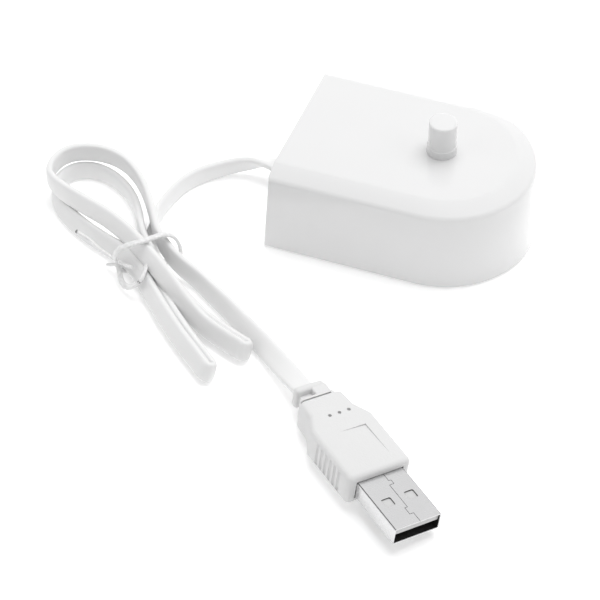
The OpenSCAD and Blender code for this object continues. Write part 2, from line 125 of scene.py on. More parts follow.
# pieces that keep their CAD shape, and the finish of each
PLAIN_NODES = {
    "bottom_cover": "cover plastic", "cover_gasket": "gasket rubber",
    "rubber_feet": "foot rubber", "cover_screws": "screw steel", "board_screws": "screw steel",
    "clamp_screws": "screw steel", "circuit_board": "green board", "coil_bobbin": "bobbin nylon",
    "coil_winding": "copper winding", "ferrite_core": "ferrite", "terminal_pins": "tinned pin",
    "smoothing_capacitor": "capacitor sleeve", "resonance_capacitor": "film capacitor",
    "filter_choke": "ferrite", "driver_chip": "chip case", "power_transistor": "chip case",
    "chip_parts": "chip ceramic", "cord_clamp": "cover plastic", "jacket_end": "lead jacket",
    "supply_wire_red": "red insulation", "supply_wire_black": "black insulation",
    "plug_insulator": "insulator plastic", "plug_inner_block": "bobbin nylon",
    "plug_contacts": "gold contact", "plug_wires": "red insulation"}


# === settings ====================================================================================
class HousingSettings(bpy.types.PropertyGroup):
    """Sizes and colour of the base's housing."""

    base_height: FloatProperty(
        name="Height", description="Height of the flat top above the floor",
        default=0.0234, unit="LENGTH")
    band_bottom: FloatProperty(
        name="Band height", description="Height of the sloping band's lower edge",
        default=0.0214, unit="LENGTH")
    band_width: FloatProperty(
        name="Band width", description="Width of the sloping band, seen from above",
        default=0.0048, unit="LENGTH")
    draft: FloatProperty(
        name="Draft", description="Lean of the walls", default=math.radians(2.6),
        subtype="ANGLE")
    wall: FloatProperty(
        name="Wall", description="Thickness of the walls", default=0.0018, unit="LENGTH")
    edge_soft: FloatProperty(
        name="Edge", description="Width of the soft rounding along the back's top edge",
        default=0.0012, unit="LENGTH")
    peg_x: FloatProperty(
        name="Peg place", description="Distance of the peg from the base's middle",
        default=0.0066, unit="LENGTH")
    peg_radius: FloatProperty(
        name="Peg radius", description="Radius of the peg", default=0.0034, unit="LENGTH")
    collar_radius: FloatProperty(
        name="Collar radius", description="Radius of the collar at the peg's foot",
        default=0.00362, unit="LENGTH")
    collar_height: FloatProperty(
        name="Collar height", description="Height of the collar", default=0.0024,
        unit="LENGTH")
    colour: FloatVectorProperty(
        name="Colour", description="Colour of the polished white plastic",
        default=(0.735, 0.735, 0.737), subtype="COLOR", size=3, min=0, max=1)


class LeadSettings(bpy.types.PropertyGroup):
    """Sizes and colours of the lead and of its tie."""

    width: FloatProperty(
        name="Width", description="Width of the flat lead", default=0.0052, unit="LENGTH")
    thickness: FloatProperty(
        name="Thickness", description="Thickness of the flat lead", default=0.002,
        unit="LENGTH")
    tie_width: FloatProperty(
        name="Tie width", description="Width of the twist tie", default=0.0016,
        unit="LENGTH")
    tie_thickness: FloatProperty(
        name="Tie thickness", description="Thickness of the twist tie", default=0.0009,
        unit="LENGTH")
    colour: FloatVectorProperty(
        name="Jacket", description="Colour of the lead's jacket",
        default=(0.80, 0.80, 0.80), subtype="COLOR", size=3, min=0, max=1)
    tie_colour: FloatVectorProperty(
        name="Tie", description="Colour of the tie's plastic",
        default=(0.80, 0.80, 0.80), subtype="COLOR", size=3, min=0, max=1)


class PlugSettings(bpy.types.PropertyGroup):
    """Sizes, place and colour of the plug."""

    yaw: FloatProperty(
        name="Turn", description="Turn of the plug about the vertical",
        default=math.radians(-38.8), subtype="ANGLE")
    roll: FloatProperty(
        name="Tilt", description="Tilt of the plug on its long lower edge",
        default=math.radians(-8), subtype="ANGLE")
    grip_width: FloatProperty(
        name="Grip width", description="Width of the moulding", default=0.0162,
        unit="LENGTH")
    grip_height: FloatProperty(
        name="Grip height", description="Height of the moulding", default=0.008,
        unit="LENGTH")
    shell_width: FloatProperty(
        name="Shell width", description="Width of the metal shell", default=0.012,
        unit="LENGTH")
    shell_height: FloatProperty(
        name="Shell height", description="Height of the metal shell", default=0.0045,
        unit="LENGTH")
    sheet: FloatProperty(
        name="Sheet", description="Thickness of the shell's sheet", default=0.0003,
        unit="LENGTH")
    colour: FloatVectorProperty(
        name="Colour", description="Colour of the moulding",
        default=(0.71, 0.71, 0.71), subtype="COLOR", size=3, min=0, max=1)


class StageSettings(bpy.types.PropertyGroup):
    """Camera and lights."""

    turn: FloatProperty(
        name="Turn", description="Turn of the camera about the vertical",
        default=math.radians(20.367), subtype="ANGLE")
    rise: FloatProperty(
        name="Rise", description="Height of the camera above the level, as an angle",
        default=math.radians(44.798), subtype="ANGLE")
    distance: FloatProperty(
        name="Distance", description="Distance of the camera from its target",
        default=0.5572, unit="LENGTH")
    lens: FloatProperty(
        name="Lens", description="Focal length in millimetres", default=140.16)
    key_power: FloatProperty(
        name="Key light", description="Power of the large light above", default=6.1,
        unit="POWER")
    sky: FloatProperty(
        name="Sky", description="Strength of the even light from all sides", default=0.47)
    gloss_sky: FloatProperty(
        name="Gloss", description="Strength of the bright walls that polished faces mirror",
        default=1.05)


def settings(name):
    return getattr(bpy.context.scene, "charger_" + name)


# === modelling helpers ===========================================================================
def only(obj):
    """Select one object and nothing else."""
    bpy.ops.object.select_all(action="DESELECT")
    obj.select_set(True)
    bpy.context.view_layer.objects.active = obj


def start(add, name, **values):
    """Add a primitive, give it a name, and put its place into its mesh."""
    bpy.ops.object.select_all(action="DESELECT")
    add(**values)
    obj = bpy.context.object
    obj.name = name
    obj.data.name = name
    bpy.ops.object.transform_apply(location=True, rotation=True, scale=True)
    return obj


def start_block(name, low, high):
    """A block between two corners, in millimetres, as the start of a piece or a cutter."""
    low, high = Vector(low) * MM, Vector(high) * MM
    return start(bpy.ops.mesh.primitive_cube_add, name, size=1, location=(low + high) / 2,
                 scale=high - low)


class Shaping:
    """Edit mode on one piece, with a selection made by a test of each part."""

    def __init__(self, obj):
        self.obj = obj

    def __enter__(self):
        only(self.obj)
        bpy.ops.object.mode_set(mode="EDIT")
        return self

    def __exit__(self, *failure):
        bpy.ops.object.mode_set(mode="OBJECT")

    def pick(self, kind, test):
        """Select the vertices, edges or faces for which test is true; say how many."""
        bpy.ops.mesh.select_mode(type=kind)
        bpy.ops.mesh.select_all(action="DESELECT")
        mesh = bmesh.from_edit_mesh(self.obj.data)
        mesh.normal_update()
        parts = {"VERT": mesh.verts, "EDGE": mesh.edges, "FACE": mesh.faces}[kind]
        chosen = [part for part in parts if test(part)]
        for part in chosen:
            part.select_set(True)
        bmesh.update_edit_mesh(self.obj.data)
        return len(chosen)

    def extrude(self, move):
        bpy.ops.mesh.extrude_region_move(TRANSFORM_OT_translate={"value": move})

    def resize(self, scale, centre):
        bpy.ops.transform.resize(value=scale, center_override=centre)

    def outwards(self):
        bpy.ops.mesh.select_all(action="SELECT")
        bpy.ops.mesh.remove_doubles(threshold=1e-7)
        bpy.ops.mesh.normals_make_consistent(inside=False)


def faces_towards(x, y, z):
    aim = Vector((x, y, z))
    return lambda face: face.normal.dot(aim) > 0.99


def modify(obj, kind, **values):
    """Add a modifier, set it and apply it."""
    only(obj)
    modifier = obj.modifiers.new(kind.lower(), kind)
    for key, value in values.items():
        setattr(modifier, key, value)
    bpy.ops.object.modifier_apply(modifier=modifier.name)


def combine(obj, other, operation):
    """Join, or cut with, another closed solid, and remove that one."""
    modify(obj, "BOOLEAN", operation=operation, object=other, solver="EXACT")
    bpy.data.objects.remove(other)


def round_edges(obj, width, segments=3, angle=30):
    modify(obj, "BEVEL", width=width, segments=segments, limit_method="ANGLE",
           angle_limit=math.radians(angle), use_clamp_overlap=True, harden_normals=False)


def smooth(obj, angle=35):
    only(obj)
    bpy.ops.object.shade_smooth_by_angle(angle=math.radians(angle))


def place(obj, matrix):
    """Turn and move a piece that was modelled at the origin, and put its place in its mesh."""
    only(obj)
    obj.matrix_world = matrix
    bpy.ops.object.transform_apply(location=True, rotation=True, scale=True)


def mesh_piece(name, points, faces):
    mesh = bpy.data.meshes.new(name)
    mesh.from_pydata(points, [], faces)
    obj = bpy.data.objects.new(name, mesh)
    bpy.context.scene.collection.objects.link(obj)
    return obj


def join(parts):
    """Make one piece of several."""
    bpy.ops.object.select_all(action="DESELECT")
    for part in parts:
        part.select_set(True)
    bpy.context.view_layer.objects.active = parts[0]
    bpy.ops.object.join()
    return parts[0]


# === finishes ====================================================================================
class Number:
    """A number in a material. Python's operators on it add Math nodes."""

    def __init__(self, finish, socket):
        self.finish = finish
        self.socket = socket

    def math(self, operation, first, second):
        node = self.finish.node("ShaderNodeMath", {"operation": operation}, {0: first, 1: second})
        return Number(self.finish, node.outputs[0])

    def __add__(self, other):
        return self.math("ADD", self, other)

    def __rsub__(self, other):
        return self.math("SUBTRACT", other, self)

    def __mul__(self, other):
        return self.math("MULTIPLY", self, other)

    __radd__ = __add__
    __rmul__ = __mul__


class Finish:
    """One material: a Principled shader and the nodes that vary it over the surface."""

    def __init__(self, name):
        self.material = bpy.data.materials.new(name)
        self.material.use_nodes = True
        self.tree = self.material.node_tree
        self.shader = self.tree.nodes["Principled BSDF"]
        place_node = self.node("ShaderNodeTexCoord")
        self.place = place_node.outputs["Object"]
        self.along = place_node.outputs["UV"]

    def fill(self, node, inputs):
        for key, value in inputs.items():
            if isinstance(value, Number):
                value = value.socket
            if isinstance(value, bpy.types.NodeSocket):
                self.tree.links.new(value, node.inputs[key])
            else:
                node.inputs[key].default_value = value

    def node(self, kind, options=None, inputs=None):
        node = self.tree.nodes.new(kind)
        for key, value in (options or {}).items():
            setattr(node, key, value)
        self.fill(node, inputs or {})
        return node

    def set(self, **values):
        """Set the shader's sockets: roughness=0.3 sets Roughness, and so on."""
        self.fill(self.shader, {key.replace("_", " ").title(): value
                                for key, value in values.items()})

    def noise(self, scale, detail=2, roughness=0.5, coords=None):
        node = self.node("ShaderNodeTexNoise", None, {
            "Vector": coords or self.place, "Scale": scale, "Detail": detail,
            "Roughness": roughness})
        return Number(self, node.outputs["Fac"])

    def cells(self, scale):
        node = self.node("ShaderNodeTexVoronoi", None, {"Vector": self.place, "Scale": scale})
        return Number(self, node.outputs["Distance"])

    def stretched(self, scale, coords=None, turn=(0, 0, 0)):
        node = self.node("ShaderNodeMapping", None, {
            "Vector": coords or self.place, "Scale": scale, "Rotation": turn})
        return node.outputs["Vector"]

    def part(self, axis):
        node = self.node("ShaderNodeSeparateXYZ", None, {0: self.place})
        return Number(self, node.outputs[axis])

    def band(self, value, low, high):
        """0 below low, 1 above high, smooth between."""
        node = self.node("ShaderNodeMapRange", {"interpolation_type": "SMOOTHSTEP"}, {
            "Value": value, "From Min": low, "From Max": high})
        return Number(self, node.outputs["Result"])

    def mix(self, factor, first, second):
        node = self.node("ShaderNodeMix", {"data_type": "RGBA"}, {
            "Factor": factor, 6: colour4(first), 7: colour4(second)})
        return node.outputs[2]

    def bump(self, height, distance):
        node = self.node("ShaderNodeBump", None, {
            "Height": height, "Distance": distance, "Strength": 1.0})
        self.tree.links.new(node.outputs["Normal"], self.shader.inputs["Normal"])


def colour4(value):
    if isinstance(value, bpy.types.NodeSocket):
        return value
    return tuple(value)[:3] + (1.0,)


def shade(colour, factor):
    return tuple(min(1.0, part * factor) for part in tuple(colour)[:3])


def plastic(name, colour, rough, grain, depth, polish=0.0, wear=0.05):
    """Moulded plastic: cloudy colour, uneven gloss and a fine surface grain."""
    f = Finish(name)
    cloud = f.noise(60, 3)
    grime = f.band(f.noise(220, 4, 0.6), 0.45, 0.75)
    f.set(base_color=f.mix(cloud, shade(colour, 0.985), shade(colour, 1.015)),
          roughness=rough + wear * grime, coat_weight=polish)
    f.bump(f.noise(grain, 3), depth)
    return f.material


def metal(name, colour, rough, scale, depth, lines=(1, 1, 1), turn=(0, 0, 0)):
    """Plated or drawn metal, with lines along one way and stains in its gloss."""
    f = Finish(name)
    drawn = f.noise(scale, 4, 0.6, f.stretched(lines, turn=turn))
    stain = f.noise(180, 3)
    f.set(base_color=f.mix(stain, shade(colour, 0.95), shade(colour, 1.03)), metallic=1.0,
          roughness=rough + 0.08 * drawn + 0.05 * stain)
    f.bump(drawn, depth)
    return f.material


def lead_jacket(colour):
    """Soft flexible plastic with faint lines drawn along it and scuffs on its edges."""
    f = Finish("lead jacket")
    drawn = f.noise(1800, 3, 0.6, f.stretched((1, 0.02, 1), f.along))
    scuff = f.band(f.noise(420, 4, 0.65), 0.55, 0.8)
    f.set(base_color=f.mix(f.noise(90, 3), shade(colour, 0.97), shade(colour, 1.02)),
          roughness=0.36 + 0.1 * scuff)
    f.bump(drawn + 0.3 * scuff, 0.00002)
    return f.material


def tie_plastic(colour):
    """Clear-white plastic over a wire, with an uneven creased tone; the long end's cut tip is dark."""
    f = Finish("tie plastic")
    crease = f.noise(1400, 3)
    end = 1 - f.band(f.part("X"), *TIE_TIP)
    tone = f.mix(f.band(crease, 0.35, 0.75), shade(colour, 0.9), shade(colour, 1.05))
    f.set(base_color=f.mix(end, tone, (0.12, 0.12, 0.12)), roughness=0.28 + 0.12 * crease,
          coat_weight=0.3)
    f.bump(crease, 0.00006)
    return f.material


def green_board():
    """Solder mask over etched tracks, with tinned pads."""
    f = Finish("green board")
    tracks = f.node("ShaderNodeTexBrick", {"offset": 0.5}, {
        "Vector": f.place, "Scale": 120.0, "Mortar Size": 0.06})
    mask = Number(f, tracks.outputs["Fac"])
    pads = 1 - f.band(f.cells(260), 0.18, 0.24)
    f.set(base_color=f.mix(pads, f.mix(mask, (0.02, 0.13, 0.06), (0.04, 0.25, 0.11)),
                           (0.7, 0.71, 0.7)),
          roughness=0.38 - 0.1 * pads)
    f.bump(mask + pads, 0.00005)
    return f.material


def copper_winding():
    """Turns of enamelled wire beside each other."""
    f = Finish("copper winding")
    turns = f.node("ShaderNodeTexWave", {"bands_direction": "Z"}, {
        "Vector": f.place, "Scale": 900.0, "Distortion": 0.4})
    ridge = Number(f, turns.outputs["Fac"])
    # the colour is darker in the grooves between the turns and lighter on their crests: painted shade
    # in the grooves
    f.set(base_color=f.mix(ridge, (0.30, 0.08, 0.03), (0.72, 0.30, 0.13)), metallic=0.85,
          roughness=0.3 + 0.15 * (1 - ridge))
    f.bump(ridge, 0.0001)
    return f.material


FINISHES = {
    "cover plastic": lambda: plastic("cover plastic", (0.70, 0.70, 0.705), 0.45, 1500, 0.00004),
    "gasket rubber": lambda: plastic("gasket rubber", (0.06, 0.06, 0.065), 0.7, 900, 0.00005),
    "foot rubber": lambda: plastic("foot rubber", (0.50, 0.50, 0.50), 0.65, 1100, 0.00005),
    "bobbin nylon": lambda: plastic("bobbin nylon", (0.75, 0.72, 0.62), 0.5, 700, 0.00004),
    "film capacitor": lambda: plastic("film capacitor", (0.42, 0.05, 0.03), 0.3, 350, 0.00008),
    "capacitor sleeve": lambda: plastic("capacitor sleeve", (0.01, 0.02, 0.10), 0.25, 500, 0.00003),
    "chip case": lambda: plastic("chip case", (0.02, 0.02, 0.022), 0.55, 2200, 0.00003),
    "chip ceramic": lambda: plastic("chip ceramic", (0.35, 0.24, 0.15), 0.5, 1500, 0.00003),
    "ferrite": lambda: plastic("ferrite", (0.035, 0.035, 0.04), 0.6, 1300, 0.00006),
    "red insulation": lambda: plastic("red insulation", (0.55, 0.03, 0.02), 0.4, 900, 0.00002),
    "black insulation": lambda: plastic("black insulation", (0.02, 0.02, 0.02), 0.4, 900, 0.00002),
    "insulator plastic": lambda: plastic("insulator plastic", (0.60, 0.60, 0.60), 0.4, 1200,
                                         0.00002),
    "lead jacket": lambda: lead_jacket(settings("lead").colour),
    "tie plastic": lambda: tie_plastic(settings("lead").tie_colour),
    "green board": green_board,
    "copper winding": copper_winding,
    "screw steel": lambda: metal("screw steel", (0.60, 0.60, 0.62), 0.3, 1500, 0.00002),
    "tinned pin": lambda: metal("tinned pin", (0.75, 0.74, 0.70), 0.28, 1500, 0.00001),
    "gold contact": lambda: metal("gold contact", (0.90, 0.66, 0.28), 0.2, 1500, 0.00001),
    "nickel plate": lambda: metal("nickel plate", (0.66, 0.66, 0.665), 0.2, 2600, 0.000004,
                                  (0.06, 1, 1), (0, 0, math.radians(38.8))),
    # painted shade: a dark, dull metal put on the shell's inner faces, cut faces and corner lines
    "shell painted shade": lambda: metal("shell painted shade", (0.05, 0.05, 0.05), 0.5, 900, 0.00001),
    "housing plastic": lambda: plastic("housing plastic", settings("housing").colour, 0.13, 260,
                                       0.000012, 0.8, 0.06),
    "plug plastic": lambda: plastic("plug plastic", settings("plug").colour, 0.46, 2400, 0.00005),
}


def finish(name):
    """The material of that name, made the first time it is asked for."""
    return bpy.data.materials.get(name) or FINISHES[name]()


def dress(obj, material):
    obj.data.materials.clear()
    obj.data.materials.append(material)


def hand_over(piece, material, slot, *nodes):
    """Finish a new piece, tie it to the object's body and let it stand for its CAD nodes."""
    dress(piece, finish(material))
    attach(piece, "root")
    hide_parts(*nodes)


# === the lead and the tie ========================================================================
def blend(a, b, c, d, t):
    """A smooth curve through four neighbours, t from 0 to 1 between b and c."""
    return 0.5 * (2 * b + (c - a) * t + (2 * a - 5 * b + 4 * c - d) * t * t
                  + (3 * b - a - 3 * c + d) * t ** 3)


def smooth_route(points, steps):
    """More points on the smooth curve through the given ones."""
    rows = [Vector(p) for p in points]
    last = len(rows) - 1
    fine = [blend(rows[max(i - 1, 0)], rows[i], rows[i + 1], rows[min(i + 2, last)], k / steps)
            for i in range(last) for k in range(steps)]
    return fine + [rows[last]]


def rounded_section(width, thickness, count=28, power=3.2):
    """Points round a flat section whose narrow edges are rounded."""
    section = []
    for i in range(count):
        a = 2 * math.pi * i / count
        c, s = math.cos(a), math.sin(a)
        wide = math.copysign(abs(c) ** (2 / power), c) * width / 2
        thin = math.copysign(abs(s) ** (2 / power), s) * thickness / 2
        section.append((wide, thin))
    return section


def sweep(name, centres, wides, section):
    """A closed skin along centres. wides says which way the section's width points."""
    count = len(section)
    last = len(centres) - 1
    points, lengths = [], [0.0]
    for i, centre in enumerate(centres):
        before, after = centres[max(i - 1, 0)], centres[min(i + 1, last)]
        heading = (after - before).normalized()
        wide = (wides[i] - heading * wides[i].dot(heading)).normalized()
        thin = heading.cross(wide)
        points += [centre + wide * w + thin * t for w, t in section]
        if i:
            lengths.append(lengths[-1] + (centre - centres[i - 1]).length)
    faces = [(i * count + k, i * count + (k + 1) % count, (i + 1) * count + (k + 1) % count,
              (i + 1) * count + k) for i in range(last) for k in range(count)]
    faces += [tuple(range(count))[::-1], tuple(range(last * count, (last + 1) * count))]
    obj = mesh_piece(name, points, faces)
    girth = 0.0144
    layer = obj.data.uv_layers.new(name="along")
    for loop in obj.data.loops:
        ring, k = divmod(loop.vertex_index, count)
        layer.data[loop.index].uv = (k / count * girth, lengths[ring])
    with Shaping(obj) as shaping:
        shaping.outwards()
    smooth(obj, 60)
    return obj


def make_lead():
    """The whole lead, with the points of its middle line."""
    lead = settings("lead")
    rows = smooth_route(LEAD_ROUTE, ROUTE_STEPS)
    centres = [Vector(row[:3]) * MM for row in rows]
    wides = []
    for i in range(len(rows)):
        heading = (centres[min(i + 1, len(rows) - 1)] - centres[max(i - 1, 0)]).normalized()
        left = Vector((0, 0, 1)).cross(heading).normalized()
        up = heading.cross(left)
        turn = math.radians(rows[i][3])
        wides.append(up * math.cos(turn) + left * math.sin(turn))
    obj = sweep("flat_lead", centres, wides, rounded_section(lead.width, lead.thickness))
    return obj, centres


def make_tie():
    """The band round the bundle, its hanging loop and its ends, in one piece."""
    lead = settings("lead")
    flat = rounded_section(lead.tie_width, lead.tie_thickness, 16, 2.6)
    thin = rounded_section(lead.tie_thickness, lead.tie_thickness, 16, 2)
    across, slanted, upright = Vector((0.7, -0.7, 0.1)), Vector((0.5, 0.5, 0.7)), Vector((0.3, 0.3, 1))
    parts = []
    for name, route, wide, section in (
            ("band", TIE_BAND, across, flat), ("loop", TIE_LOOP, slanted, flat),
            ("long_end", TIE_LONG_END, upright, thin),
            ("short_end", TIE_SHORT_END, upright, thin)):
        centres = [p * MM for p in smooth_route(route, TIE_STEPS)]
        parts.append(sweep(name, centres, [wide] * len(centres), section))
    tie = join(parts)
    tie.name = "wire_tie"
    return tie


# === the housing =================================================================================
def make_housing():
    """The D-shaped shell: an outline that is inset upwards, given its walls and its peg."""
    h = settings("housing")
    low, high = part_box("top_housing")
    rim, half = low.z, high.y
    round_x = high.x - half
    lean = math.tan(h.draft)
    outline = start(bpy.ops.mesh.primitive_circle_add, "charging_base", vertices=128,
                    radius=half, fill_type="NGON", location=(round_x, 0, rim))
    with Shaping(outline) as shaping:
        bpy.ops.mesh.select_all(action="SELECT")
        bpy.ops.mesh.bisect(plane_co=(round_x, 0, rim), plane_no=(1, 0, 0), clear_inner=True)
        shaping.pick("EDGE", lambda e: all(abs(v.co.x - round_x) < SAME for v in e.verts))
        shaping.extrude((low.x - round_x, 0, 0))
        bpy.ops.mesh.select_mode(type="FACE")
        bpy.ops.mesh.select_all(action="SELECT")
        bpy.ops.mesh.remove_doubles(threshold=1e-7)
        bpy.ops.mesh.dissolve_faces()
        if not shaping.pick("FACE", faces_towards(0, 0, 1)):
            bpy.ops.mesh.select_all(action="SELECT")
            bpy.ops.mesh.flip_normals()
        bpy.ops.mesh.select_all(action="SELECT")
        rise = h.band_bottom - rim
        bpy.ops.mesh.inset(thickness=rise * lean, depth=rise)
        slope = h.base_height - h.band_bottom
        bpy.ops.mesh.inset(thickness=h.band_width, depth=slope)
        back = low.x + (h.base_height - rim) * lean
        top_back = low.x + rise * lean + h.band_width
        shaping.pick("VERT", lambda v: abs(v.co.z - h.base_height) < NEAR
                     and v.co.x < top_back + NEAR)
        bpy.ops.transform.translate(value=(back - top_back, 0, 0))
        shaping.pick("FACE", lambda f: len(f.verts) > 8 and f.normal.z < -0.9)
        bpy.ops.mesh.delete(type="FACE")
    modify(outline, "SOLIDIFY", thickness=h.wall, offset=-1, use_even_offset=True)
    soften_housing(outline, half, round_x, low.x, rim, h)
    combine(outline, make_peg(h), "UNION")
    exit_z = (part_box("jacket_end")[0].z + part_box("jacket_end")[1].z) / 2 / MM
    reach, slot_y, slot_z = 5, 3.55, 1.95
    slot = start_block("slot", (low.x / MM - reach, -slot_y, exit_z - slot_z),
                       (low.x / MM + reach, slot_y, exit_z + slot_z))
    combine(outline, slot, "DIFFERENCE")
    smooth(outline, 30)
    return outline


def soften_housing(obj, half, round_x, back, rim, h):
    """Round the outer edges, the back's top edge most, by weights on the edges."""
    mesh = obj.data
    weights = mesh.attributes.new("bevel_weight_edge", "FLOAT", "EDGE")
    lean_in, rim_in, back_in, corner_in = 1.2 * MM, 0.5 * MM, 2 * MM, 1.5 * MM

    def outside(v, gap):
        x, y = v.co.x, v.co.y
        reach = math.hypot(x - round_x, y) if x > round_x else abs(y)
        return reach > half - gap or x < back + gap

    for edge in mesh.edges:
        a, b = (mesh.vertices[i] for i in edge.vertices)
        level = abs(a.co.z - b.co.z) < SAME
        on_back = a.co.x < back + back_in and b.co.x < back + back_in
        if level and abs(a.co.z - h.base_height) < NEAR:
            weights.data[edge.index].value = 1.0 if on_back else 0.4
        elif level and abs(a.co.z - h.band_bottom) < NEAR and outside(a, lean_in) \
                and outside(b, lean_in):
            weights.data[edge.index].value = 0.0 if on_back else 0.8
        elif level and abs(a.co.z - rim) < NEAR and outside(a, rim_in) and outside(b, rim_in):
            weights.data[edge.index].value = 0.25
        elif not level and min(a.co.x, b.co.x) < back + lean_in and outside(a, lean_in) \
                and abs(a.co.y - b.co.y) < 1.1 * MM and abs(a.co.y) > half - corner_in:
            weights.data[edge.index].value = 0.5
    modify(obj, "BEVEL", width=h.edge_soft, segments=4, limit_method="WEIGHT")


def make_peg(h):
    """The peg: a disc drawn up through its collar, with a rounded rim."""
    foot = h.base_height - 1 * MM
    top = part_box("top_housing")[1].z
    peg = start(bpy.ops.mesh.primitive_circle_add, "peg", vertices=96,
                radius=h.collar_radius, fill_type="NGON", location=(h.peg_x, 0, foot))
    middle = (h.peg_x, 0, top)
    step, rim_round = 0.3 * MM, 0.5 * MM
    narrow = h.peg_radius / h.collar_radius
    with Shaping(peg) as shaping:
        bpy.ops.mesh.select_all(action="SELECT")
        shaping.extrude((0, 0, h.base_height - foot + h.collar_height - step))
        shaping.extrude((0, 0, step))
        shaping.resize((narrow, narrow, 1), middle)
        shaping.extrude((0, 0, top - h.base_height - h.collar_height))
        shaping.pick("EDGE", lambda e: all(v.co.z > top - SAME for v in e.verts))
        bpy.ops.mesh.bevel(offset=rim_round, segments=6, affect="EDGES")
        shaping.pick("EDGE", lambda e: e.is_boundary)
        bpy.ops.mesh.edge_face_add()
        shaping.outwards()
    return peg


# === the plug ====================================================================================
# All in millimetres along the plug's own axes: X runs from the moulding's face to the tip.
SHELL_TIP = 15.3
SHELL_IN = 9.0                      # how far the shell goes into the moulding
SHELL_CORNER = 0.45
SHELL_WINDOWS = (-2.9, 3.0)         # Y of each latch window
WINDOW_X, WINDOW_HALF, WINDOW_ROUND = (6.5, 8.9), 1.2, 0.35
SEAM = [(-0.2, 0.75), (2.2, 0.75), (2.2, 1.35), (3.4, 1.35), (3.4, 0.2), (10.6, 0.2),
        (10.6, -0.5), (12.6, -0.5), (12.6, 0.45), (15.6, 0.45)]
SEAM_HALF, SEAM_DEPTH = 0.055, 0.15
WIDE_BACK, SHOULDER = -16.5, 4.2    # where the wide part ends, and the length of its shoulder
STEP_BACK, STEP_HALF = -26.0, 5.9   # the narrow part's end and half its width
GRIP_ROUND = 1.25
# the blocks of the slotted neck: name, two corners, rounding
NECK = [("collar", (-27.4, -4.4, -2.9), (-25, 4.4, 3.1), 0.6),
        ("bridge", (-30.4, 0.2, -2.4), (-27, 4.2, 2.7), 0.5),
        ("stem", (-30.4, -2.9, -1.5), (-27, 2.9, 1.2), 0.3),
        ("end", (-31.4, -3.6, -2.5), (-29.4, 3.9, 2.8), 0.7)]
GROOVES = [-12.9 + 1.75 * i for i in range(6)]
GROOVE_RADIUS, GROOVE_ROUND, GROOVE_OUT, GROOVE_SHORT = 0.55, 0.3, 0.12, 2.2
DIMPLE_X, DIMPLES = -19.1, (-1.5, 1.0, 3.5)
DIMPLE_RADII, DIMPLE_DEPTH = (0.35, 0.5), 1.8
PANEL_BACK, PANEL_SIDE, PANEL_DEPTH = -13.7, 4.5, 0.38
PANEL_RISE_FRONT, PANEL_RISE_SIDE = 0.52, 0.57
SHELL_GAP = 0.12


def plug_place():
    """Where the plug lies: its own X runs to the tip, and its origin is at the grip's face."""
    p = settings("plug")
    turn = Matrix.Rotation(p.yaw, 4, "Z") @ Matrix.Rotation(p.roll, 4, "X")
    low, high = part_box("plug_shell")
    shell_middle = Vector(((SHELL_TIP - SHELL_IN) / 2, 0, 0)) * MM
    return Matrix.Translation((low + high) / 2 - turn @ shell_middle) @ turn


def make_grip():
    """The moulding: a block drawn back in steps, with a slotted neck, ridges and a panel."""
    p = settings("plug")
    half, height = p.grip_width / 2 / MM, p.grip_height / 2 / MM
    grip = start_block("plug_grip", (WIDE_BACK, -half, -height), (0, half, height))
    with Shaping(grip) as shaping:
        shaping.pick("FACE", faces_towards(-1, 0, 0))
        shaping.extrude((-SHOULDER * MM, 0, 0))
        shaping.resize((1, STEP_HALF / half, 1), (0, 0, 0))
        shaping.extrude(((STEP_BACK - WIDE_BACK + SHOULDER) * MM, 0, 0))
        shaping.resize((1, 0.95, 0.96), (0, 0, 0))
    round_edges(grip, GRIP_ROUND * MM, 4)
    for name, low, high, width in NECK:
        part = start_block(name, low, high)
        round_edges(part, width * MM, 3)
        combine(grip, part, "UNION")
    for cutter in grip_cutters(half, height):
        combine(grip, cutter, "DIFFERENCE")
    smooth(grip, 40)
    return grip


def grip_cutters(half, height):
    """What is cut out of the moulding: grooves, dimples, a thin slot, panel and sockets."""
    grooves = []
    for x in GROOVES:
        for side in (-1, 1):
            groove = start(bpy.ops.mesh.primitive_cylinder_add, "groove", vertices=16,
                           radius=GROOVE_RADIUS * MM, depth=(2 * height - GROOVE_SHORT) * MM,
                           location=(x * MM, side * (half + GROOVE_OUT) * MM, 0))
            round_edges(groove, GROOVE_ROUND * MM, 2, 60)
            grooves.append(groove)
    yield join(grooves)
    yield join([start(bpy.ops.mesh.primitive_cone_add, "dimple", vertices=24,
                      radius1=DIMPLE_RADII[0] * MM, radius2=DIMPLE_RADII[1] * MM,
                      depth=DIMPLE_DEPTH * MM, location=(DIMPLE_X * MM, y * MM, (height - 0.3) * MM))
                for y in DIMPLES])
    yield start_block("thin_slot", (-26.5, -6, height - 3.2), (-26.1, 3.4, height))
    panel = start_block("panel", (PANEL_BACK, -6, height - PANEL_DEPTH),
                        (0.5, PANEL_SIDE, height + 1))
    with Shaping(panel) as shaping:
        floor_z = (height - 0.2) * MM
        shaping.pick("VERT", lambda v: v.co.z < floor_z and v.co.x > 0)
        bpy.ops.transform.translate(value=(0, 0, PANEL_RISE_FRONT * MM))
        shaping.pick("VERT", lambda v: v.co.z < floor_z + 1 * MM and v.co.y < 0)
        bpy.ops.transform.translate(value=(0, 0, PANEL_RISE_SIDE * MM))
    yield panel
    p, lead = settings("plug"), settings("lead")
    shell_y, shell_z = p.shell_width / 2 / MM + SHELL_GAP, p.shell_height / 2 / MM + SHELL_GAP
    yield start_block("shell_socket", (-20, -shell_y, -shell_z), (1, shell_y, shell_z))
    lead_y, lead_z = lead.width / 2 / MM, lead.thickness / 2 / MM
    yield start_block("lead_socket", (-33, -lead_y, -lead_z), (-19.5, lead_y, lead_z))


